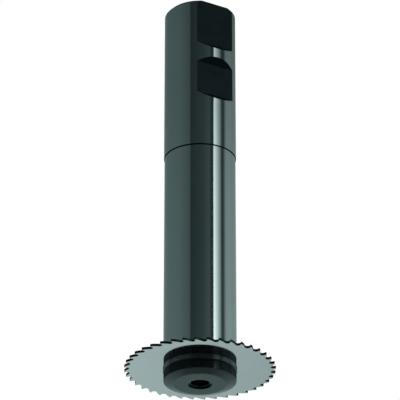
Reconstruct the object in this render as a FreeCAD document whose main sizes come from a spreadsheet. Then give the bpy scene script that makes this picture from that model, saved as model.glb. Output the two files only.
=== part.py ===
import FreeCAD, Part
import math
import os
import Sketcher

# Saw blade arbor, millimetres. Z runs up the axis to the shank's free end, the origin is the
# centre of the clamping screw's face, and the two clamping flats face -Y.
# A right-hand cutter: seen from the shank, it turns clockwise.

doc = FreeCAD.newDocument("saw_blade_arbor")

# Driving dimensions, each written once. Fits are named clearances on the radius.
SIZES = [
    ("shank_dia", 25.0),
    ("shank_length", 57.5),
    ("shank_chamfer", 1.0),
    ("flat_depth", 2.25),
    ("flat_width", 12.0),
    ("flat_above_groove", 20.5),
    ("flat_land", 8.0),
    ("flat_run_out", 2.0),
    ("flat_end_angle", 45.0),
    ("plain_wall_margin", 4.0),
    ("centre_hole_dia", 6.3),
    ("centre_drill_dia", 2.5),
    ("centre_drill_length", 3.5),
    ("body_relief", 0.2),
    ("body_length", 78.4),
    ("body_chamfer", 0.4),
    ("groove_width", 0.45),
    ("groove_depth", 0.25),
    ("spigot_dia", 13.0),
    ("spigot_into_ring", 0.5),
    ("spigot_chamfer", 0.3),
    ("thread_dia", 10.0),
    ("thread_depth", 22.0),
    ("thread_clearance", 0.05),
    ("bore_clearance", 0.02),
    ("blade_dia", 50.7),
    ("blade_thickness", 0.9),
    ("tooth_count", 40.0),
    ("tooth_depth", 1.7),
    ("tooth_land", 0.5),
    ("rake_angle", 18.0),
    ("gullet_radius", 0.9),
    ("back_radius", 7.0),
    ("tooth_phase", 1.65),
    ("rim_overhang", 0.1),
    ("ring_thickness", 0.85),
    ("ring_chamfer", 0.1),
    ("head_inset", 0.1),
    ("head_side_height", 3.2),
    ("cone_height", 1.05),
    ("cone_width", 3.3),
    ("head_chamfer", 0.15),
    ("stem_length", 16.0),
    ("stem_chamfer", 0.8),
    ("key_mouth_dia", 7.9),
    ("key_mouth_depth", 0.7),
    ("key_across_flats", 6.0),
    ("key_depth", 4.6),
]

# Sizes and places worked out from the driving dimensions. The body, the ring and the screw's
# head follow the shank's diameter, because all of them are turned to go through one bore.
DERIVED = [
    ("body_dia", "=shank_dia - 2 * body_relief"),
    ("ring_dia", "=body_dia + 2 * rim_overhang"),
    ("head_dia", "=body_dia - 2 * head_inset"),
    ("face_dia", "=head_dia - 2 * cone_width"),
    ("head_height", "=cone_height + head_side_height"),
    ("blade_level", "=head_height + ring_thickness"),
    ("body_level", "=blade_level + blade_thickness"),
    ("groove_level", "=body_level + body_length"),
    ("shank_end_level", "=groove_level + shank_length"),
    ("spigot_length", "=blade_thickness + spigot_into_ring"),
    ("thread_clear_dia", "=thread_dia + 2 * thread_clearance"),
    ("bore_dia", "=spigot_dia + 2 * bore_clearance"),
    ("root_radius", "=blade_dia / 2 - tooth_depth"),
    ("tooth_pitch", "=360 / tooth_count"),
    ("centre_cone_depth", "=(centre_hole_dia - centre_drill_dia) / 2 * sqrt(3)"),
    ("tap_point_height", "=thread_clear_dia / 2 * tan(31deg)"),
]

sheet = doc.addObject("Spreadsheet::Sheet", "sizes")
for row, (alias, value) in enumerate(SIZES + DERIVED, start=1):
    sheet.set("A%d" % row, alias)
    sheet.set("B%d" % row, str(value))
    sheet.setAlias("B%d" % row, alias)
doc.recompute()

# How far a cutting outline runs past the surface that it cuts.
OVERRUN = 1.0


def size(alias):
    """The value of one named size."""
    return float(sheet.get(alias))


def origin_plane(body, role):
    """One of the body's own origin planes."""
    return next(item for item in body.Origin.OriginFeatures if item.Role == role)


def new_body(label):
    """An empty body that stands for one physical piece."""
    body = doc.addObject("PartDesign::Body", label)
    body.Label = label
    return body


def new_sketch(body, role, name):
    """A sketch on one of the body's own origin planes."""
    sketch = body.newObject("Sketcher::SketchObject", name)
    sketch.AttachmentSupport = [(origin_plane(body, role), "")]
    sketch.MapMode = "FlatFace"
    return sketch


def bind(sketch, kind, refs, start, expression, name):
    """Add one named dimension and tie it to the sheet."""
    index = sketch.addConstraint(Sketcher.Constraint(kind, *refs, start))
    sketch.renameConstraint(index, name)
    sketch.setExpression("Constraints.%s" % name, expression)
    return index


def vector(x, y):
    return FreeCAD.Vector(x, y, 0.0)


def turned_profile(body, name, stations):
    """A closed half section in the XZ plane from (radius, level) expressions.

    Each station has a name and two expressions. Each corner of the outline is held by its
    distances from the axis and from the base plane; a radius or level of "0" lies on them.
    """
    sketch = new_sketch(body, "XZ_Plane", name)
    points = []
    for label, radius, level in stations:
        points.append(vector(value_of(radius), value_of(level)))
    count = len(points)
    for index in range(count):
        following = points[(index + 1) % count]
        sketch.addGeometry(Part.LineSegment(points[index], following), False)
    for index in range(count):
        refs = (index, 2, (index + 1) % count, 1)
        sketch.addConstraint(Sketcher.Constraint("Coincident", *refs))
    for index, (label, radius, level) in enumerate(stations):
        for kind, text, start in (
            ("DistanceX", radius, points[index].x),
            ("DistanceY", level, points[index].y),
        ):
            if text == "0":
                axis = -2 if kind == "DistanceX" else -1
                sketch.addConstraint(Sketcher.Constraint("PointOnObject", index, 1, axis))
            else:
                key = "%s_%s" % (label, "radius" if kind == "DistanceX" else "level")
                bind(sketch, kind, (-1, 1, index, 1), start, expression_of(text), key)
    return sketch


def expression_of(text):
    """Point each alias in a formula at the sheet."""
    words = []
    for word in text.split(" "):
        words.append("sizes." + word if word in ALIASES else word)
    return " ".join(words)


def value_of(text):
    """The number that a formula of aliases stands for, as the sheet works it out."""
    return float(sheet.evalExpression(text))


ALIASES = {alias for alias, value in SIZES + DERIVED}


def revolve(body, sketch, name):
    """Turn a half section right round the Z axis."""
    turned = body.newObject("PartDesign::Revolution", name)
    turned.Profile = sketch
    turned.ReferenceAxis = (sketch, ["V_Axis"])
    turned.Angle = 360.0
    turned.Refine = False
    doc.recompute()
    return turned


def make_arbor_body():
    """The ground bar: shank, relief groove, body, spigot, tapped hole and centre hole.

    The shank's wall is kept as two faces, a plain one and one that the flats cut, so a holder
    or a gauge can be set to the plain stretch below the flats.
    """
    body = new_body("arbor_body")
    body_radius = "body_dia / 2"
    shank_radius = "shank_dia / 2"
    spigot_radius = "spigot_dia / 2"
    hole_radius = "thread_clear_dia / 2"
    centre_radius = "centre_hole_dia / 2"
    drill_radius = "centre_drill_dia / 2"
    stations = [
        ("hole_mouth", hole_radius, "body_level - spigot_length"),
        ("spigot_end", spigot_radius + " - spigot_chamfer", "body_level - spigot_length"),
        ("spigot_side", spigot_radius, "body_level - spigot_length + spigot_chamfer"),
        ("seat_inner", spigot_radius, "body_level"),
        ("seat_outer", body_radius + " - body_chamfer", "body_level"),
        ("body_foot", body_radius, "body_level + body_chamfer"),
        ("groove_foot", body_radius, "groove_level - groove_width"),
        ("groove_floor_low", body_radius + " - groove_depth", "groove_level - groove_width"),
        ("groove_floor_high", body_radius + " - groove_depth", "groove_level"),
        ("shank_foot", shank_radius, "groove_level"),
        ("plain_wall_end", shank_radius, "groove_level + flat_above_groove - plain_wall_margin"),
        ("shank_side", shank_radius, "shank_end_level - shank_chamfer"),
        ("shank_end", shank_radius + " - shank_chamfer", "shank_end_level"),
        ("centre_mouth", centre_radius, "shank_end_level"),
        ("centre_foot", drill_radius, "shank_end_level - centre_cone_depth"),
        ("drill_side", drill_radius, "shank_end_level - centre_cone_depth - centre_drill_length"),
        ("drill_axis", "0", "shank_end_level - centre_cone_depth - centre_drill_length"),
        ("tap_point", "0", "body_level - spigot_length + thread_depth + tap_point_height"),
        ("tap_side", hole_radius, "body_level - spigot_length + thread_depth"),
    ]
    section = turned_profile(body, "arbor_section", stations)
    turned = revolve(body, section, "arbor_turned")
    plain_volume = turned.Shape.Volume
    front = mill_flat(body, "front_flat", "flat_above_groove", "flat_width")
    front_volume = front.Shape.Volume
    rear_start = "flat_above_groove + flat_width + flat_land"
    rear_length = "shank_length - " + rear_start.replace("+", "-") + " + flat_run_out"
    rear = mill_flat(body, "rear_flat", rear_start, rear_length)
    assert rear.Shape.Volume < front_volume < plain_volume
    return body


def mill_flat(body, name, start, length):
    """One flat milled across the shank's -Y side; its ends slope outwards from its floor."""
    sketch = new_sketch(body, "YZ_Plane", name + "_outline")
    floor = size("shank_dia") / 2 - size("flat_depth")
    outside = size("shank_dia") / 2 + OVERRUN
    run = (outside - floor) * math.tan(math.radians(size("flat_end_angle")))
    low = size("groove_level") + value_of(start)
    high = low + value_of(length)
    corners = [vector(-floor, low), vector(-outside, low - run)]
    corners += [vector(-outside, high + run), vector(-floor, high)]
    for index in range(4):
        sketch.addGeometry(Part.LineSegment(corners[index], corners[(index + 1) % 4]), False)
    for index in range(4):
        refs = (index, 2, (index + 1) % 4, 1)
        sketch.addConstraint(Sketcher.Constraint("Coincident", *refs))
    for index in (1, 3):
        sketch.addConstraint(Sketcher.Constraint("Vertical", index))
    floor_place = "sizes.shank_dia / 2 - sizes.flat_depth"
    outside_place = "sizes.shank_dia / 2 + %g" % OVERRUN
    slope = "(sizes.flat_depth + %g) * tan(sizes.flat_end_angle * 1deg)" % OVERRUN
    level = expression_of("groove_level + " + start)
    bind(sketch, "DistanceX", (0, 1, -1, 1), floor, floor_place, "floor_place")
    bind(sketch, "DistanceX", (0, 2, -1, 1), outside, outside_place, "outside_place")
    bind(sketch, "DistanceY", (-1, 1, 0, 1), low, level, "start")
    bind(sketch, "DistanceY", (0, 1, 2, 2), high - low, expression_of(length), "length")
    bind(sketch, "DistanceY", (0, 2, 0, 1), run, slope, "low_slope")
    bind(sketch, "DistanceY", (2, 2, 2, 1), run, slope, "high_slope")
    flat = body.newObject("PartDesign::Pocket", name)
    flat.Profile = sketch
    flat.Type = 1
    flat.Midplane = True
    flat.Refine = False
    doc.recompute()
    return flat


def tooth_gap_points():
    """Where the arcs of one tooth gap start and end, in the blade's plane.

    The tooth behind the gap has its tip at (0, -R) and cuts towards -X. Its rake face runs in
    from the tip, a concave gullet touches the root circle, and the curved back of the tooth
    ahead rises from the gullet to its land.
    """
    radius = size("blade_dia") / 2
    rake = math.radians(size("rake_angle"))
    gullet = size("gullet_radius")
    back = size("back_radius")
    along = vector(math.sin(rake), math.cos(rake))
    outward = vector(-math.cos(rake), math.sin(rake))
    tip = vector(0.0, -radius)
    # The gullet's centre is one gullet radius from the rake line and from the root circle.
    reach = size("root_radius") + gullet
    offset = tip + outward * gullet
    half_b = offset.dot(along)
    run = -half_b - math.sqrt(half_b ** 2 - offset.dot(offset) + reach ** 2)
    gullet_centre = offset + along * run
    rake_foot = tip + along * run
    land_angle = math.radians(size("tooth_pitch")) - size("tooth_land") / radius
    land_end = vector(-radius * math.sin(land_angle), -radius * math.cos(land_angle))
    # The back's centre is inside the tooth ahead, where the two arcs meet smoothly.
    span = gullet_centre - land_end
    distance = span.Length
    towards = span * (1.0 / distance)
    inward = vector(-towards.y, towards.x)
    if inward.y < 0:
        inward = inward * -1.0
    foot = (back ** 2 - (back + gullet) ** 2 + distance ** 2) / (2 * distance)
    rise = math.sqrt(back ** 2 - foot ** 2)
    back_centre = land_end + towards * foot + inward * rise
    join = gullet_centre + (back_centre - gullet_centre) * (gullet / (gullet + back))
    return tip, rake_foot, gullet_centre, join, back_centre, land_end, along


def angle_of(point, centre):
    return math.atan2(point.y - centre.y, point.x - centre.x)


def make_saw_blade():
    """The slitting saw: a bored disc, one gap between two teeth, and its polar pattern."""
    body = new_body("saw_blade")
    radius = size("blade_dia") / 2
    disc = new_sketch(body, "XY_Plane", "blade_disc")
    upright = FreeCAD.Vector(0, 0, 1)
    for index, (name, start) in enumerate((("blade_dia", 2 * radius), ("bore_dia", size("bore_dia")))):
        disc.addGeometry(Part.Circle(vector(0, 0), upright, start / 2), False)
        disc.addConstraint(Sketcher.Constraint("Coincident", index, 3, -1, 1))
        bind(disc, "Diameter", (index,), start, "sizes." + name, name)
    blank = body.newObject("PartDesign::Pad", "blade_blank")
    blank.Profile = disc
    blank.setExpression("Length", "sizes.blade_thickness")
    doc.recompute()

    tip, rake_foot, gullet_centre, join, back_centre, land_end, along = tooth_gap_points()
    rake_top = tip - along * OVERRUN
    land_top = land_end * (1 + OVERRUN / radius)
    gap = new_sketch(body, "XY_Plane", "tooth_gap")
    gullet_circle = Part.Circle(gullet_centre, upright, size("gullet_radius"))
    back_circle = Part.Circle(back_centre, upright, size("back_radius"))
    gullet_from = angle_of(rake_foot, gullet_centre)
    gullet_to = angle_of(join, gullet_centre)
    back_from = angle_of(land_end, back_centre)
    back_to = angle_of(join, back_centre)
    # The gullet arc runs counter-clockwise from the rake face over its floor to the back.
    gap.addGeometry(Part.LineSegment(rake_top, rake_foot), False)
    gap.addGeometry(Part.ArcOfCircle(gullet_circle, gullet_from, gullet_to), False)
    gap.addGeometry(Part.ArcOfCircle(back_circle, back_from, back_to), False)
    gap.addGeometry(Part.LineSegment(land_end, land_top), False)
    gap.addGeometry(Part.LineSegment(land_top, rake_top), False)
    root = gap.addGeometry(Part.Circle(vector(0, 0), upright, size("root_radius")), True)
    rim = gap.addGeometry(Part.Circle(vector(0, 0), upright, radius), True)
    spoke = gap.addGeometry(Part.LineSegment(vector(0, 0), land_end), True)
    for refs in (
        ("Tangent", 0, 2, 1, 1),
        ("Tangent", 1, 2, 2, 2),
        ("Coincident", 2, 1, 3, 1),
        ("Coincident", 3, 2, 4, 1),
        ("Coincident", 4, 2, 0, 1),
        ("Coincident", root, 3, -1, 1),
        ("Coincident", rim, 3, -1, 1),
        ("Coincident", spoke, 1, -1, 1),
        ("Coincident", spoke, 2, 3, 1),
        ("PointOnObject", 3, 1, rim),
        ("PointOnObject", 3, 2, spoke),
        ("Tangent", 1, root),
    ):
        gap.addConstraint(Sketcher.Constraint(*refs))
    tip_point = gap.addGeometry(Part.Point(tip), True)
    gap.addConstraint(Sketcher.Constraint("PointOnObject", tip_point, 1, -2))
    gap.addConstraint(Sketcher.Constraint("PointOnObject", tip_point, 1, rim))
    gap.addConstraint(Sketcher.Constraint("PointOnObject", tip_point, 1, 0))
    bind(gap, "Radius", (root,), size("root_radius"), "sizes.root_radius", "root")
    bind(gap, "Radius", (rim,), radius, "sizes.blade_dia / 2", "rim")
    bind(gap, "Radius", (1,), size("gullet_radius"), "sizes.gullet_radius", "gullet")
    bind(gap, "Radius", (2,), size("back_radius"), "sizes.back_radius", "back")
    rake = "(90 - sizes.rake_angle) * 1deg"
    bind(gap, "Angle", (0,), math.atan2(along.y, along.x), rake, "rake")
    land = "sizes.tooth_land / (sizes.blade_dia / 2) * 180 / pi"
    spoke_angle = "(%s - 90 - sizes.tooth_pitch) * 1deg" % land
    bind(gap, "Angle", (spoke,), math.atan2(land_end.y, land_end.x), spoke_angle, "land_place")
    gap.addConstraint(Sketcher.Constraint("Distance", 3, OVERRUN))
    gap.addConstraint(Sketcher.Constraint("Distance", 0, 1, tip_point, 1, OVERRUN))
    first_gap = body.newObject("PartDesign::Pocket", "first_gap")
    first_gap.Profile = gap
    first_gap.Type = 1
    first_gap.Midplane = True
    doc.recompute()
    assert first_gap.Shape.Volume < blank.Shape.Volume
    teeth = body.newObject("PartDesign::PolarPattern", "teeth")
    teeth.Originals = [first_gap]
    teeth.Axis = (gap, ["N_Axis"])
    teeth.Angle = 360.0
    teeth.setExpression("Occurrences", "sizes.tooth_count")
    body.Tip = teeth
    turn = FreeCAD.Rotation(upright, size("tooth_phase"))
    body.Placement = FreeCAD.Placement(vector(0, 0), turn)
    body.setExpression(".Placement.Base.z", "sizes.blade_level")
    body.setExpression(".Placement.Rotation.Angle", "sizes.tooth_phase * 1deg")
    doc.recompute()
    return body


def make_clamping_ring():
    """The thin ring between the blade and the screw's head, chamfered on its lower edge."""
    body = new_body("clamping_ring")
    stations = [
        ("bore_low", "bore_dia / 2", "0"),
        ("foot", "ring_dia / 2 - ring_chamfer", "0"),
        ("rim_low", "ring_dia / 2", "ring_chamfer"),
        ("rim_high", "ring_dia / 2", "ring_thickness"),
        ("bore_high", "bore_dia / 2", "ring_thickness"),
    ]
    section = turned_profile(body, "ring_section", stations)
    revolve(body, section, "ring_turned")
    body.setExpression(".Placement.Base.z", "sizes.head_height")
    return body


def make_clamping_screw():
    """The flanged screw: flat face, shallow cone, low head, stem and the socket for the key."""
    body = new_body("clamping_screw")
    stations = [
        ("face_centre", "0", "0"),
        ("face_edge", "face_dia / 2", "0"),
        ("side_foot", "head_dia / 2", "cone_height"),
        ("side_top", "head_dia / 2", "head_height - head_chamfer"),
        ("seat_edge", "head_dia / 2 - head_chamfer", "head_height"),
        ("stem_root", "thread_dia / 2", "head_height"),
        ("stem_side", "thread_dia / 2", "head_height + stem_length - stem_chamfer"),
        ("stem_end", "thread_dia / 2 - stem_chamfer", "head_height + stem_length"),
        ("stem_axis", "0", "head_height + stem_length"),
    ]
    section = turned_profile(body, "screw_section", stations)
    turned = revolve(body, section, "screw_turned")

    mouth_outline = new_sketch(body, "XY_Plane", "key_mouth_outline")
    upright = FreeCAD.Vector(0, 0, 1)
    mouth_outline.addGeometry(Part.Circle(vector(0, 0), upright, size("key_mouth_dia") / 2), False)
    mouth_outline.addConstraint(Sketcher.Constraint("Coincident", 0, 3, -1, 1))
    bind(mouth_outline, "Diameter", (0,), size("key_mouth_dia"), "sizes.key_mouth_dia", "mouth")
    mouth = sink(body, "key_mouth", mouth_outline, "sizes.key_mouth_depth")

    socket_outline = new_sketch(body, "XY_Plane", "key_socket_outline")
    across_corners = size("key_across_flats") / math.cos(math.radians(30))
    corners = []
    for index in range(6):
        turn = math.radians(60 * index)
        corners.append(vector(math.cos(turn), math.sin(turn)) * (across_corners / 2))
    for index in range(6):
        side = Part.LineSegment(corners[index], corners[(index + 1) % 6])
        socket_outline.addGeometry(side, False)
    circle = Part.Circle(vector(0, 0), upright, across_corners / 2)
    ring = socket_outline.addGeometry(circle, True)
    socket_outline.addConstraint(Sketcher.Constraint("Coincident", ring, 3, -1, 1))
    for index in range(6):
        refs = (index, 2, (index + 1) % 6, 1)
        socket_outline.addConstraint(Sketcher.Constraint("Coincident", *refs))
        socket_outline.addConstraint(Sketcher.Constraint("PointOnObject", index, 1, ring))
    for index in range(5):
        socket_outline.addConstraint(Sketcher.Constraint("Equal", index, index + 1))
    socket_outline.addConstraint(Sketcher.Constraint("PointOnObject", 0, 1, -1))
    corner_size = "sizes.key_across_flats / cos(30deg)"
    bind(socket_outline, "Diameter", (ring,), across_corners, corner_size, "across_corners")
    socket = sink(body, "key_socket", socket_outline, "sizes.key_depth")
    assert socket.Shape.Volume < mouth.Shape.Volume < turned.Shape.Volume
    return body


def sink(body, name, outline, depth):
    """A pocket from the screw's face up into the head."""
    pocket = body.newObject("PartDesign::Pocket", name)
    pocket.Profile = outline
    pocket.Reversed = True
    pocket.setExpression("Length", depth)
    doc.recompute()
    return pocket


pieces = [
    make_arbor_body(),
    make_saw_blade(),
    make_clamping_ring(),
    make_clamping_screw(),
]
doc.recompute()

for item in doc.Objects:
    assert "Invalid" not in item.State and "Error" not in item.State, item.Name
    if item.isDerivedFrom("Sketcher::SketchObject"):
        assert item.solve() == 0, item.Name
for piece in pieces:
    assert not piece.Shape.isNull() and piece.Shape.isValid(), piece.Label
    assert len(piece.Shape.Solids) == 1, piece.Label

os.makedirs("parts", exist_ok=True)
for piece in pieces:
    piece.Shape.exportStep("parts/%s.step" % piece.Label)
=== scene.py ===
import collections
import math

import bpy
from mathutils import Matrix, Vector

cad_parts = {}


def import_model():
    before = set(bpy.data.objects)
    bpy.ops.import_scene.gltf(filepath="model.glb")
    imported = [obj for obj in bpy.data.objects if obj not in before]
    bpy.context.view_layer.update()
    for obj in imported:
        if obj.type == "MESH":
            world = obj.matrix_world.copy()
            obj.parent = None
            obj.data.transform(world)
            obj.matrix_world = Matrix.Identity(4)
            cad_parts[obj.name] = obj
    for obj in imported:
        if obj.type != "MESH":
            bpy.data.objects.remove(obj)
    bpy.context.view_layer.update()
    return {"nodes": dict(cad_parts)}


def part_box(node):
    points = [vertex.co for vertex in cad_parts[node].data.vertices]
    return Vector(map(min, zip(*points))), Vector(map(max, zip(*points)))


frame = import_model()

# Sizes of the arbor in metres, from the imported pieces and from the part's own sheet.
BODY_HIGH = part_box("arbor_body")[1]
SHANK_RADIUS = BODY_HIGH.x
BODY_RELIEF = 0.0002
BODY_RADIUS = SHANK_RADIUS - BODY_RELIEF
SHANK_LENGTH = 0.0575
GROOVE_LEVEL = BODY_HIGH.z - SHANK_LENGTH
GROOVE_WIDTH = 0.00045
# How far in from a ground wall a point must lie to count as cut deeper than the grinding.
GRINDING_EDGE = 0.00004
# The step where the shank ends lies on the groove's own level, give or take this.
STEP_EDGE = 0.000005
# Above the groove by this much, whatever isn't the ground wall is a flat or the shank's end.
ABOVE_GROOVE = 0.001

# The camera stands below the saw blade and looks up along the arbor, as in the photograph.
CAMERA_AZIMUTH = math.radians(-30.3)
CAMERA_REACH = 0.8273
CAMERA_DROP = 0.3511
CAMERA_PITCH = math.radians(26.91)
CAMERA_LENS = 242.5
CAMERA_SENSOR = 36.0
CLIP_NEAR = 0.01
CLIP_FAR = 50.0

# Steel is nearly neutral; the photograph's teal cast is in the light, which takes this step off
# red, as the eye sees it, and a smaller one where the steel is dark.
STEEL_TINT = (0.97, 1.0, 1.0)
CAST_STEP = 15.0 / 255.0
DARK_CAST = 0.30
CAST_GROWTH = 2.0
# What the ground steel gives back of the light that it mirrors.
STEEL_SHARE = 0.62
# The curve by which brightness is shown: its scale, its offset and its power.
CURVE_SCALE = 1.055
CURVE_OFFSET = 0.055
CURVE_POWER = 2.4

WHITE = (1.0, 1.0, 1.0, 1.0)

# Noise is spread over a finish between these two of its values.
NOISE_LOW = 0.3
NOISE_HIGH = 0.7
# How strong each finer layer of the noise is beside the one before it.
NOISE_ROUGHNESS = 0.6
# How many grains there are to a metre along each axis, and how many finer layers they have. For
# the rings that turning and grinding leave, the axes are the radius, the angle round the axis in
# radians, and the level.
SHANK_RINGS = ((400.0, 0.6, 9000.0), 3.0)
SHANK_CLOUDS = ((60.0, 60.0, 25.0), 3.0)
BLADE_RINGS = ((5000.0, 1.5, 300.0), 3.0)
BLADE_CLOUDS = ((50.0, 50.0, 50.0), 3.0)
CLAMP_RINGS = ((6000.0, 0.8, 6000.0), 3.0)
CLAMP_CLOUDS = ((180.0, 180.0, 180.0), 4.0)
OXIDE_CLOUDS = ((260.0, 260.0, 260.0), 4.0)
OXIDE_GRAINS = ((3000.0, 3000.0, 3000.0), 2.0)
FLOOR_CLOUDS = ((3.0, 3.0, 3.0), 3.0)

# Brightness and roughness of the steels, each from one end of the noise to the other.
SHANK_GREY = (0.60, 0.66)
SHANK_LINES = (0.93, 1.0)
SHANK_LINES_SHARE = 0.5
SHANK_ROUGHNESS = (0.065, 0.095)
BLADE_GREY = (0.74, 0.78)
BLADE_ROUGHNESS = (0.05, 0.08)

# How deep each relief is in metres, and how strongly it turns the light.
SHANK_RELIEF = (0.00002, 0.02)
BLADE_RELIEF = (0.00001, 0.01)
CLAMP_RELIEF = (0.00002, 0.03)
OXIDE_RELIEF = (0.00001, 0.03)

BLACK_TINT = (0.8, 1.0, 1.0)
OXIDE_TINT = (0.90, 1.0, 1.06)
FLAT_TINT = (0.7, 1.0, 1.15)
FACE_SCATTER = (0.016, 0.024, 0.024, 1.0)
# How much the clouds change the brightness and the roughness of a black finish.
OXIDE_CLOUDING = 0.15
BLACK_CLOUDING = 0.10
# The broken edges of the blackened pieces catch the light over about this width.
EDGE_ROUNDING = 0.0009
EDGE_SAMPLES = 8
# How far a surface has turned away, from 0 face on to 1 edge on, where its own grooves start to
# shade it and where they shade it most.
GRAZE_FROM = 0.2
GRAZE_TO = 0.85
# A wall's normal has less than this share along the axis, on the clamp and on the blade.
CLAMP_WALL = 0.25
BLADE_WALL = 0.5
# A wall that was turned round the axis faces away from it by at least this share.
TURNED_WALL = 0.95

# Black oxide on one kind of surface: what it mirrors, its roughness, what it scatters, its
# tint, how far fine grooves round the axis draw its reflections out lengthwise, and how much
# of them is left where the surface turns away, shaded by its own grooves.
Oxide = collections.namedtuple("Oxide", "share roughness depth tint turned graze")
# The flats' black also paints the shade in the groove and on the step where the shank ends.
FLAT_OXIDE_AND_GROOVE_SHADE = Oxide(0.022, 0.30, 0.010, FLAT_TINT, 0.0, 1.0)
# Darkness of the teeth's upright cut faces.
DARK_TOOTH_FACES = Oxide(0.030, 0.30, 0.010, OXIDE_TINT, 0.0, 1.0)
RING_OXIDE = Oxide(0.36, 0.18, 0.050, OXIDE_TINT, 0.75, 0.32)
SCREW_OXIDE = Oxide(0.052, 0.14, 0.027, OXIDE_TINT, 0.75, 0.60)
# Brightness and roughness of the turned faces and cones of the ring and of the screw.
RING_FACE = (0.12, 0.25)
SCREW_FACE = (0.074, 0.30)


def tinted(value):
    """A steel grey of this brightness."""
    return tuple(value * part for part in STEEL_TINT) + (1.0,)


def coloured(value, tint):
    """A colour of this brightness and tint."""
    return tuple(value * part for part in tint) + (1.0,)


def red_share(glow):
    """The red part of a light whose reflection in the steel has the photograph's cast."""
    seen = STEEL_SHARE * glow
    shown = CURVE_SCALE * min(seen, 1.0) ** (1 / CURVE_POWER) - CURVE_OFFSET
    cooler = shown - CAST_STEP * min(DARK_CAST + CAST_GROWTH * shown, 1.0)
    return min(((cooler + CURVE_OFFSET) / CURVE_SCALE) ** CURVE_POWER / seen, 1.0)


class Graph:
    """A small helper that builds one node tree, node by node."""

    def __init__(self, tree):
        self.tree = tree
        tree.nodes.clear()

    def add(self, kind, settings=None, **inputs):
        """Add a node, set its properties, and fill or link its inputs."""
        node = self.tree.nodes.new(kind)
        for name, value in (settings or {}).items():
            setattr(node, name, value)
        for name, value in inputs.items():
            self.feed(node, name.replace("_", " "), value)
        return node

    def feed(self, node, name, value):
        """Fill one input with a constant, or link another node's output to it."""
        socket = node.inputs[int(name)] if name.isdigit() else node.inputs[name]
        if isinstance(value, bpy.types.NodeSocket):
            self.tree.links.new(value, socket)
        else:
            socket.default_value = value

    def math(self, operation, first, second=0.0):
        """One operation on two values, of which some operations use only the first."""
        node = self.add("ShaderNodeMath", {"operation": operation})
        self.feed(node, "0", first)
        self.feed(node, "1", second)
        return node.outputs[0]

    def ramp(self, factor, stops):
        """A colour ramp from (position, brightness or colour) stops."""
        node = self.tree.nodes.new("ShaderNodeValToRGB")
        elements = node.color_ramp.elements
        while len(elements) < len(stops):
            elements.new(0.5)
        for element, (place, value) in zip(elements, stops):
            element.position = place
            element.color = value if isinstance(value, tuple) else (value, value, value, 1.0)
        self.feed(node, "Fac", factor)
        return node.outputs["Color"]

    def spread(self, noise, low, high):
        """A brightness, roughness or colour that noise moves between two values."""
        return self.ramp(noise, [(NOISE_LOW, low), (NOISE_HIGH, high)])

    def mix(self, factor, first, second):
        """One shader where the factor is 0, and the other where it is 1."""
        node = self.add("ShaderNodeMixShader", Fac=factor)
        self.feed(node, "1", first)
        self.feed(node, "2", second)
        return node.outputs["Shader"]

    def sum(self, first, second):
        """What two shaders give together."""
        node = self.add("ShaderNodeAddShader")
        self.feed(node, "0", first)
        self.feed(node, "1", second)
        return node.outputs["Shader"]

    def relief(self, height, size, normal=None):
        """A normal that follows fine relief of this depth and strength."""
        depth, strength = size
        node = self.add("ShaderNodeBump", Height=height, Strength=strength, Distance=depth)
        if normal is not None:
            self.feed(node, "Normal", normal)
        return node.outputs["Normal"]

    def metal(self, colour, roughness, normal):
        """Bare metal of this colour, roughness and relief."""
        node = self.add("ShaderNodeBsdfPrincipled", Metallic=1.0, Roughness=roughness)
        self.feed(node, "Base Color", colour)
        self.feed(node, "Normal", normal)
        return node.outputs["BSDF"]

    def show(self, shader):
        """Make this shader the material's surface."""
        self.add("ShaderNodeOutputMaterial", Surface=shader)


def new_material(name):
    """A material and the graph that fills it."""
    material = bpy.data.materials.new(name)
    material.use_nodes = True
    return material, Graph(material.node_tree)


def object_position(graph):
    """Object coordinates; every piece sits at the origin, so they are the row frame's."""
    return graph.add("ShaderNodeTexCoord").outputs["Object"]


def polar(graph, position):
    """Radius, angle round the Z axis, and level of a position."""
    split = graph.add("ShaderNodeSeparateXYZ", Vector=position)
    x, y, z = (split.outputs[name] for name in "XYZ")
    squares = graph.math("ADD", graph.math("MULTIPLY", x, x), graph.math("MULTIPLY", y, y))
    return graph.math("SQRT", squares), graph.math("ARCTAN2", y, x), z


def stretched_noise(graph, position, grains):
    """Noise whose grains are stretched by a different scale along each axis."""
    scale, detail = grains
    mapped = graph.add("ShaderNodeMapping", Vector=position, Scale=scale)
    noise = graph.add("ShaderNodeTexNoise", Vector=mapped.outputs["Vector"], Scale=1.0)
    graph.feed(noise, "Detail", detail)
    graph.feed(noise, "Roughness", NOISE_ROUGHNESS)
    return noise.outputs["Fac"]


def ring_noise(graph, position, grains):
    """Noise drawn out round the axis, as turning and grinding leave it."""
    radius, angle, level = polar(graph, position)
    around = graph.add("ShaderNodeCombineXYZ", X=radius, Y=angle, Z=level)
    return stretched_noise(graph, around.outputs["Vector"], grains)


def even_change(graph, value, start, end, low, high):
    """A value that goes evenly from low to high while another goes from start to end."""
    change = graph.add("ShaderNodeMapRange", Value=value)
    for name, number in (("From Min", start), ("From Max", end), ("To Min", low), ("To Max", high)):
        graph.feed(change, name, number)
    return change.outputs[0]


def true_normal(graph):
    """The normal of the surface itself, without any relief."""
    return graph.add("ShaderNodeNewGeometry").outputs["True Normal"]


def upright_part(graph, limit):
    """1 on surfaces that stand upright, whose normal has less than this share along Z."""
    turn = graph.add("ShaderNodeSeparateXYZ", Vector=true_normal(graph)).outputs["Z"]
    return graph.math("LESS_THAN", graph.math("ABSOLUTE", turn), limit)


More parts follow.
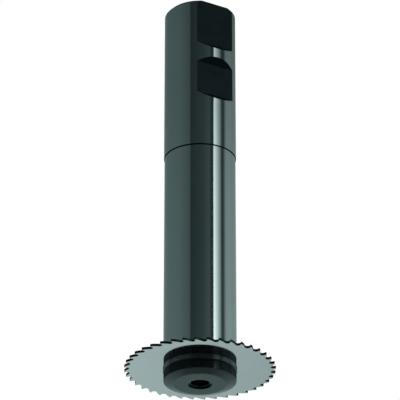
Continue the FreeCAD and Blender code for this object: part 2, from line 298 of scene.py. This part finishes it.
def outward(graph, position):
    """How squarely a surface faces away from the axis: 1 on a wall turned round it."""
    level_part = (1.0, 1.0, 0.0)
    flatten = graph.add("ShaderNodeVectorMath", {"operation": "MULTIPLY"})
    graph.feed(flatten, "0", position)
    graph.feed(flatten, "1", level_part)
    away = graph.add("ShaderNodeVectorMath", {"operation": "NORMALIZE"})
    graph.feed(away, "0", flatten.outputs["Vector"])
    facing = graph.add("ShaderNodeVectorMath", {"operation": "DOT_PRODUCT"})
    graph.feed(facing, "0", away.outputs["Vector"])
    graph.feed(facing, "1", true_normal(graph))
    return facing.outputs["Value"]


def black_oxide(graph, position, oxide):
    """Black oxide: dark, cloudy, with fine grains in its colour, gloss and relief."""
    clouds = stretched_noise(graph, position, OXIDE_CLOUDS)
    grains = stretched_noise(graph, position, OXIDE_GRAINS)
    normal = graph.relief(grains, OXIDE_RELIEF)
    thin = coloured(oxide.share * (1.0 - OXIDE_CLOUDING), oxide.tint)
    thick = coloured(oxide.share * (1.0 + OXIDE_CLOUDING), oxide.tint)
    facing = graph.add("ShaderNodeLayerWeight").outputs["Facing"]
    shaded = graph.add("ShaderNodeVectorMath", {"operation": "SCALE"})
    graph.feed(shaded, "Vector", graph.spread(clouds, thin, thick))
    graph.feed(shaded, "Scale", even_change(graph, facing, GRAZE_FROM, GRAZE_TO, 1.0, oxide.graze))
    smooth = oxide.roughness * (1.0 - BLACK_CLOUDING)
    rough = oxide.roughness * (1.0 + BLACK_CLOUDING)
    around = graph.add("ShaderNodeTangent", {"direction_type": "RADIAL", "axis": "Z"})
    mirror = graph.add("ShaderNodeBsdfAnisotropic", Normal=normal, Anisotropy=oxide.turned)
    graph.feed(mirror, "Color", shaded.outputs["Vector"])
    graph.feed(mirror, "Roughness", graph.spread(clouds, smooth, rough))
    graph.feed(mirror, "Tangent", around.outputs["Tangent"])
    body = graph.add("ShaderNodeBsdfDiffuse", Normal=normal)
    body.inputs["Color"].default_value = coloured(oxide.depth, oxide.tint)
    return graph.sum(mirror.outputs["BSDF"], body.outputs["BSDF"])


def unground_part_and_groove_shade(graph, position):
    """1 on the flats and the shank's end, which the grinding doesn't reach, and on the groove and
    the step where the shank ends, which are painted black as shade.
    """
    radius, _, level = polar(graph, position)
    inside = graph.math("LESS_THAN", radius, SHANK_RADIUS - GRINDING_EDGE)
    turned_away = graph.math("LESS_THAN", outward(graph, position), TURNED_WALL)
    above = graph.math("GREATER_THAN", level, GROOVE_LEVEL + ABOVE_GROOVE)
    milled = graph.math("MULTIPLY", graph.math("MAXIMUM", inside, turned_away), above)
    # Painted shade: the groove and the step where the shank ends are marked to be painted black,
    # for the shadow that falls in them.
    over = graph.math("GREATER_THAN", level, GROOVE_LEVEL - GROOVE_WIDTH - GRINDING_EDGE)
    under = graph.math("LESS_THAN", level, GROOVE_LEVEL + STEP_EDGE)
    sunk = graph.math("LESS_THAN", radius, BODY_RADIUS - GRINDING_EDGE)
    step = graph.math("GREATER_THAN", level, GROOVE_LEVEL - STEP_EDGE)
    deep = graph.math("MAXIMUM", sunk, step)
    groove_painted_shade = graph.math("MULTIPLY", graph.math("MULTIPLY", over, under), deep)
    return graph.math("MAXIMUM", milled, groove_painted_shade)


def ground_steel():
    """The arbor: steel ground in fine rings, softly clouded, over what stayed black and over
    painted shade in the groove.

    The bar was blackened before its round surfaces were ground, so the flats and the shank's end
    stay black. The groove and the step where the shank ends get the same black as painted shade.
    """
    material, graph = new_material("ground_steel")
    position = object_position(graph)
    rings = ring_noise(graph, position, SHANK_RINGS)
    clouds = stretched_noise(graph, position, SHANK_CLOUDS)
    mixed = graph.add("ShaderNodeMix", {"data_type": "RGBA", "blend_type": "MULTIPLY"})
    mixed.inputs["Factor"].default_value = SHANK_LINES_SHARE
    graph.feed(mixed, "6", graph.spread(clouds, *(tinted(grey) for grey in SHANK_GREY)))
    graph.feed(mixed, "7", graph.spread(rings, *(tinted(grey) for grey in SHANK_LINES)))
    roughness = graph.spread(clouds, *SHANK_ROUGHNESS)
    bright = graph.metal(mixed.outputs[2], roughness, graph.relief(rings, SHANK_RELIEF))
    # Painted shade: this black also fills the groove and the step where the shank ends.
    black = black_oxide(graph, position, FLAT_OXIDE_AND_GROOVE_SHADE)
    graph.show(graph.mix(unground_part_and_groove_shade(graph, position), bright, black))
    return material


def saw_steel():
    """Bright ground saw blade, near a mirror, with faint rings from the grinding wheel.

    The two sides are bright ground steel; the teeth's upright cut faces are made dark.
    """
    material, graph = new_material("saw_steel")
    position = object_position(graph)
    rings = ring_noise(graph, position, BLADE_RINGS)
    clouds = stretched_noise(graph, position, BLADE_CLOUDS)
    colour = graph.spread(clouds, *(tinted(grey) for grey in BLADE_GREY))
    roughness = graph.spread(rings, *BLADE_ROUGHNESS)
    bright = graph.metal(colour, roughness, graph.relief(rings, BLADE_RELIEF))
    # The teeth's upright cut faces are made dark.
    black = black_oxide(graph, position, DARK_TOOTH_FACES)
    graph.show(graph.mix(upright_part(graph, BLADE_WALL), bright, black))
    return material


def blackened_steel(name, oxide, face):
    """Black oxide over turned steel: glossy dark walls, and paler turned faces and cones."""
    material, graph = new_material(name)
    position = object_position(graph)
    rings = ring_noise(graph, position, CLAMP_RINGS)
    clouds = stretched_noise(graph, position, CLAMP_CLOUDS)
    brightness, roughness = face
    less, more = 1.0 - BLACK_CLOUDING, 1.0 + BLACK_CLOUDING
    thin, thick = (coloured(part * brightness, BLACK_TINT) for part in (less, more))
    rounded = graph.add("ShaderNodeBevel", {"samples": EDGE_SAMPLES}, Radius=EDGE_ROUNDING)
    normal = graph.relief(rings, CLAMP_RELIEF, rounded.outputs["Normal"])
    gloss = graph.spread(clouds, roughness * less, roughness * more)
    mirrored = graph.metal(graph.spread(clouds, thin, thick), gloss, normal)
    scatter = graph.add("ShaderNodeBsdfDiffuse", Color=FACE_SCATTER)
    turned = graph.sum(mirrored, scatter.outputs["BSDF"])
    wall = black_oxide(graph, position, oxide)
    graph.show(graph.mix(upright_part(graph, CLAMP_WALL), turned, wall))
    return material


def paint_pieces():
    """Give every carried-over piece its own finish."""
    finishes = {
        "arbor_body": ground_steel(),
        "saw_blade": saw_steel(),
        "clamping_ring": blackened_steel("blackened_ring", RING_OXIDE, RING_FACE),
        "clamping_screw": blackened_steel("blackened_screw", SCREW_OXIDE, SCREW_FACE),
    }
    for node, material in finishes.items():
        piece = frame["nodes"][node]
        piece.data.materials.clear()
        piece.data.materials.append(material)


def new_sheet(name, vertices, faces, places=None):
    """A sheet of the studio, with its material's graph. places are its own coordinates."""
    mesh = bpy.data.meshes.new(name)
    mesh.from_pydata(vertices, [], faces)
    if places:
        layer = mesh.uv_layers.new(name="place")
        for loop in mesh.loops:
            layer.data[loop.index].uv = places[loop.vertex_index]
    sheet = bpy.data.objects.new(name, mesh)
    bpy.context.scene.collection.objects.link(sheet)
    material, graph = new_material(name)
    mesh.materials.append(material)
    return sheet, graph


def sheet_place(graph):
    """The two coordinates that a sheet of the studio carries."""
    place = graph.add("ShaderNodeTexCoord").outputs["UV"]
    split = graph.add("ShaderNodeSeparateXYZ", Vector=place)
    return split.outputs["X"], split.outputs["Y"]


def show_unseen(graph, light):
    """Make a sheet glow with this light for everything but the camera, which looks through."""
    clear = graph.add("ShaderNodeBsdfTransparent").outputs["BSDF"]
    camera_ray = graph.add("ShaderNodeLightPath").outputs["Is Camera Ray"]
    graph.show(graph.mix(camera_ray, light.outputs["Emission"], clear))


# Studio lights as upright curved panels round the arbor. The polished bar mirrors each as one
# stripe: a panel at this angle from the camera, seen from the arbor, shows at half that angle.
# Each row: name, angle and glow at its start, angle and glow at its end, the height at which
# the glow has faded out, and the share of the glow low down and at the foot. The panels in
# front are dark at the foot, so that the clamp's walls stay in shade.
PANELS = [
    ("left_card_far", (-180.0, 0.30), (-135.0, 0.165), 1.9, 1.9, 1.9),
    ("left_card", (-135.0, 0.165), (-68.0, 0.148), 1.9, 1.0, 0.6),
    ("left_card_near", (-68.0, 0.148), (-31.0, 0.098), 1.9, 1.0, 0.5),
    ("front_flag", (-31.0, 0.036), (8.0, 0.056), 2.2, 1.0, 0.1),
    ("front_card", (8.0, 0.056), (30.0, 0.09), 1.7, 1.0, 0.1),
    ("front_card_fade", (30.0, 0.09), (36.0, 0.038), 1.7, 1.0, 0.1),
    ("front_card_edge", (36.0, 0.038), (44.0, 0.046), 1.7, 1.0, 0.1),
    ("strip_light", (44.0, 1.37), (58.0, 0.66), 1.19, 3.0, 0.05),
    ("strip_light_fade", (58.0, 0.66), (72.0, 0.13), 1.19, 1.3, 0.5),
    ("side_flag", (72.0, 0.07), (80.0, 0.045), 1.4, 1.1, 0.6),
    ("right_card_edge", (80.0, 0.045), (92.0, 0.315), 1.21, 1.1, 0.6),
    ("right_card", (92.0, 0.315), (110.0, 0.33), 1.21, 1.3, 0.6),
    ("right_card_far", (110.0, 0.33), (125.0, 0.295), 1.21, 1.5, 0.8),
    ("back_card", (125.0, 0.295), (180.0, 0.30), 1.21, 1.9, 1.9),
]
# How far from the arbor the panels stand, their lowest and highest levels, and the degrees that
# one of their facets covers.
PANEL_REACH = 1.5
PANEL_LOW = -0.615
PANEL_HIGH = 2.2
PANEL_STEP = 2.0
# The height on the panels that the middle of the bar mirrors, where the glow is as listed.
MIRRORED_HEIGHT = 0.82
# Just below it the glow is this much brighter, then it turns into what is listed for low down,
# and last into what is listed for the foot. What is left of it at the top is FADED.
MIRRORED_LOW = 0.66
MIRRORED_GAIN = 1.22
LOW_TOP = 0.48
FOOT_FROM = 0.10
FOOT_TO = -0.10
FADED = 0.04
# A colour ramp holds shares up to 1, so they are stored divided by this.
MOST_SHARE = 4.0
# The stripes on the bar run straight up although the bar looks narrower with height, so the
# panels spread a little with height: by this share of their angle to a metre.
PANEL_SPREAD = 0.10


def panel_place(angle, level):
    """The place on the panels at this angle from the camera and at this level."""
    reach = math.copysign(min(abs(angle), 180.0 - abs(angle)), angle)
    aside = reach * PANEL_SPREAD * (level - MIRRORED_HEIGHT)
    turned = math.radians(angle + aside - 90.0) + CAMERA_AZIMUTH
    return PANEL_REACH * math.cos(turned), PANEL_REACH * math.sin(turned), level


def height_share(graph, level, top, low, foot):
    """The share of a panel's glow at this level."""
    levels = [
        (FOOT_TO, foot),
        (FOOT_FROM, low),
        (LOW_TOP, low),
        (MIRRORED_LOW, MIRRORED_GAIN),
        (MIRRORED_HEIGHT, 1.0),
        (top, FADED),
    ]
    reach = PANEL_HIGH - PANEL_LOW
    stops = [((height - PANEL_LOW) / reach, share / MOST_SHARE) for height, share in levels]
    place = graph.math("DIVIDE", graph.math("SUBTRACT", level, PANEL_LOW), reach)
    stored = graph.add("ShaderNodeSeparateColor", Color=graph.ramp(place, stops))
    return graph.math("MULTIPLY", stored.outputs["Red"], MOST_SHARE)


def panel(name, start, end, top, low, foot):
    """One curved panel whose glow changes evenly from its start to its end and fades upwards."""
    count = max(2, int((end[0] - start[0]) / PANEL_STEP))
    vertices = []
    places = []
    for index in range(count + 1):
        share = index / count
        angle = start[0] + (end[0] - start[0]) * share
        for level in (PANEL_LOW, PANEL_HIGH):
            vertices.append(panel_place(angle, level))
            places.append((share, level))
    faces = [(foot, foot + 2, foot + 3, foot + 1) for foot in range(0, 2 * count, 2)]
    stand, graph = new_sheet(name, vertices, faces, places)
    along, level = sheet_place(graph)
    glow = even_change(graph, along, 0.0, 1.0, start[1], end[1])
    power = graph.math("MULTIPLY", glow, height_share(graph, level, top, low, foot))
    red = even_change(graph, along, 0.0, 1.0, red_share(start[1]), red_share(end[1]))
    cast = graph.add("ShaderNodeCombineColor", Red=red, Green=1.0, Blue=1.0)
    light = graph.add("ShaderNodeEmission", Color=cast.outputs["Color"], Strength=power)
    show_unseen(graph, light)


# Cards lying low round the arbor. The underside of the blade mirrors the one behind: brighter
# to the left, with the change close to the middle, and less bright with distance. The one in
# front is dark, and darkest far off, where the clamp's walls are mirrored in the blade. Each
# glow is given near and far.
CARD_LEVEL = -0.60
CARD_HALF = 1.2
CARD_NEAR = 0.50
CARD_FAR = 1.49
CARD_COLOUR = (0.80, 1.0, 1.0, 1.0)
CARD_CHANGE = 0.10
CARD_FADE_FROM = 1.28
CARD_FADE_TO = 1.44
CARD_LEFT = (0.57, 0.54)
CARD_RIGHT = (0.46, 0.385)
FLAG_NEAR = 0.25
FLAG_FADE_FROM = 1.05
FLAG_FADE_TO = 1.36
FLAG_GLOW = (0.035, 0.009)


def low_card(name, near, far, glow):
    """A level card between two distances behind the arbor, or in front where they are negative.

    glow makes the brightness from the graph and from the places across and away.
    """
    turn = CAMERA_AZIMUTH + math.radians(90.0)
    back = (math.cos(turn), math.sin(turn))
    side = (back[1], -back[0])
    places = [(across, away) for across in (-CARD_HALF, CARD_HALF) for away in (near, far)]
    vertices = []
    for across, away in places:
        x = back[0] * away + side[0] * across
        y = back[1] * away + side[1] * across
        vertices.append((x, y, CARD_LEVEL))
    card, graph = new_sheet(name, vertices, [(0, 1, 3, 2)], places)
    power = glow(graph, *sheet_place(graph))
    show_unseen(graph, graph.add("ShaderNodeEmission", Color=CARD_COLOUR, Strength=power))


def card_glow(graph, across, away):
    """The card behind: less bright far off, and brighter to the left than to the right."""
    left = even_change(graph, away, CARD_FADE_FROM, CARD_FADE_TO, *CARD_LEFT)
    right = even_change(graph, away, CARD_FADE_FROM, CARD_FADE_TO, *CARD_RIGHT)
    return even_change(graph, across, -CARD_CHANGE, CARD_CHANGE, left, right)


def flag_glow(graph, across, away):
    """The dark card in front: darkest far off."""
    near, far = FLAG_GLOW
    return even_change(graph, away, -FLAG_FADE_TO, -FLAG_FADE_FROM, far, near)


FLOOR_LEVEL = -0.62
FLOOR_HALF = 4.0
FLOOR_DARK = (0.80, 0.82, 0.82, 1.0)
FLOOR_PALE = (0.84, 0.86, 0.86, 1.0)


def floor():
    """A pale plain floor far below the arbor, clear to a camera that looks up through it."""
    square = ((-1, -1), (1, -1), (1, 1), (-1, 1))
    vertices = [(x * FLOOR_HALF, y * FLOOR_HALF, FLOOR_LEVEL) for x, y in square]
    ground, graph = new_sheet("floor", vertices, [(0, 1, 2, 3)])
    noise = stretched_noise(graph, object_position(graph), FLOOR_CLOUDS)
    diffuse = graph.add("ShaderNodeBsdfDiffuse", Color=graph.spread(noise, FLOOR_DARK, FLOOR_PALE))
    white = graph.add("ShaderNodeEmission", Color=WHITE)
    clear = graph.add("ShaderNodeBsdfTransparent")
    below = graph.add("ShaderNodeNewGeometry").outputs["Backfacing"]
    shown = graph.mix(below, white.outputs["Emission"], clear.outputs["BSDF"])
    camera_ray = graph.add("ShaderNodeLightPath").outputs["Is Camera Ray"]
    graph.show(graph.mix(camera_ray, diffuse.outputs["BSDF"], shown))


ROOM_COLOUR = (0.72, 1.0, 1.0, 1.0)
ROOM_STRENGTH = 0.1


def world():
    """White to the camera and to what mirrors it, a soft grey room to everything else."""
    studio = bpy.data.worlds.new("studio")
    studio.use_nodes = True
    bpy.context.scene.world = studio
    graph = Graph(studio.node_tree)
    room = graph.add("ShaderNodeBackground", Color=ROOM_COLOUR, Strength=ROOM_STRENGTH)
    white = graph.add("ShaderNodeBackground", Color=WHITE, Strength=1.0)
    ray = graph.add("ShaderNodeLightPath").outputs
    seen = graph.math("MAXIMUM", ray["Is Camera Ray"], ray["Is Glossy Ray"])
    seen = graph.math("MAXIMUM", seen, ray["Is Transmission Ray"])
    shown = graph.mix(seen, room.outputs["Background"], white.outputs["Background"])
    graph.add("ShaderNodeOutputWorld", Surface=shown)


def camera():
    """The camera of the photograph: below the blade, looking up, with a long lens."""
    data = bpy.data.cameras.new("camera")
    data.sensor_width = CAMERA_SENSOR
    data.lens = CAMERA_LENS
    data.clip_start = CLIP_NEAR
    data.clip_end = CLIP_FAR
    eye = bpy.data.objects.new("camera", data)
    bpy.context.scene.collection.objects.link(eye)
    x = CAMERA_REACH * math.sin(CAMERA_AZIMUTH)
    y = -CAMERA_REACH * math.cos(CAMERA_AZIMUTH)
    eye.location = (x, y, -CAMERA_DROP)
    eye.rotation_euler = (math.radians(90.0) + CAMERA_PITCH, 0.0, CAMERA_AZIMUTH)
    bpy.context.scene.camera = eye


paint_pieces()
for row in PANELS:
    panel(*row)
low_card("low_card", CARD_NEAR, CARD_FAR, card_glow)
low_card("low_flag", -CARD_FAR, -FLAG_NEAR, flag_glow)
floor()
world()
camera()
bpy.context.scene.view_settings.view_transform = "Standard"
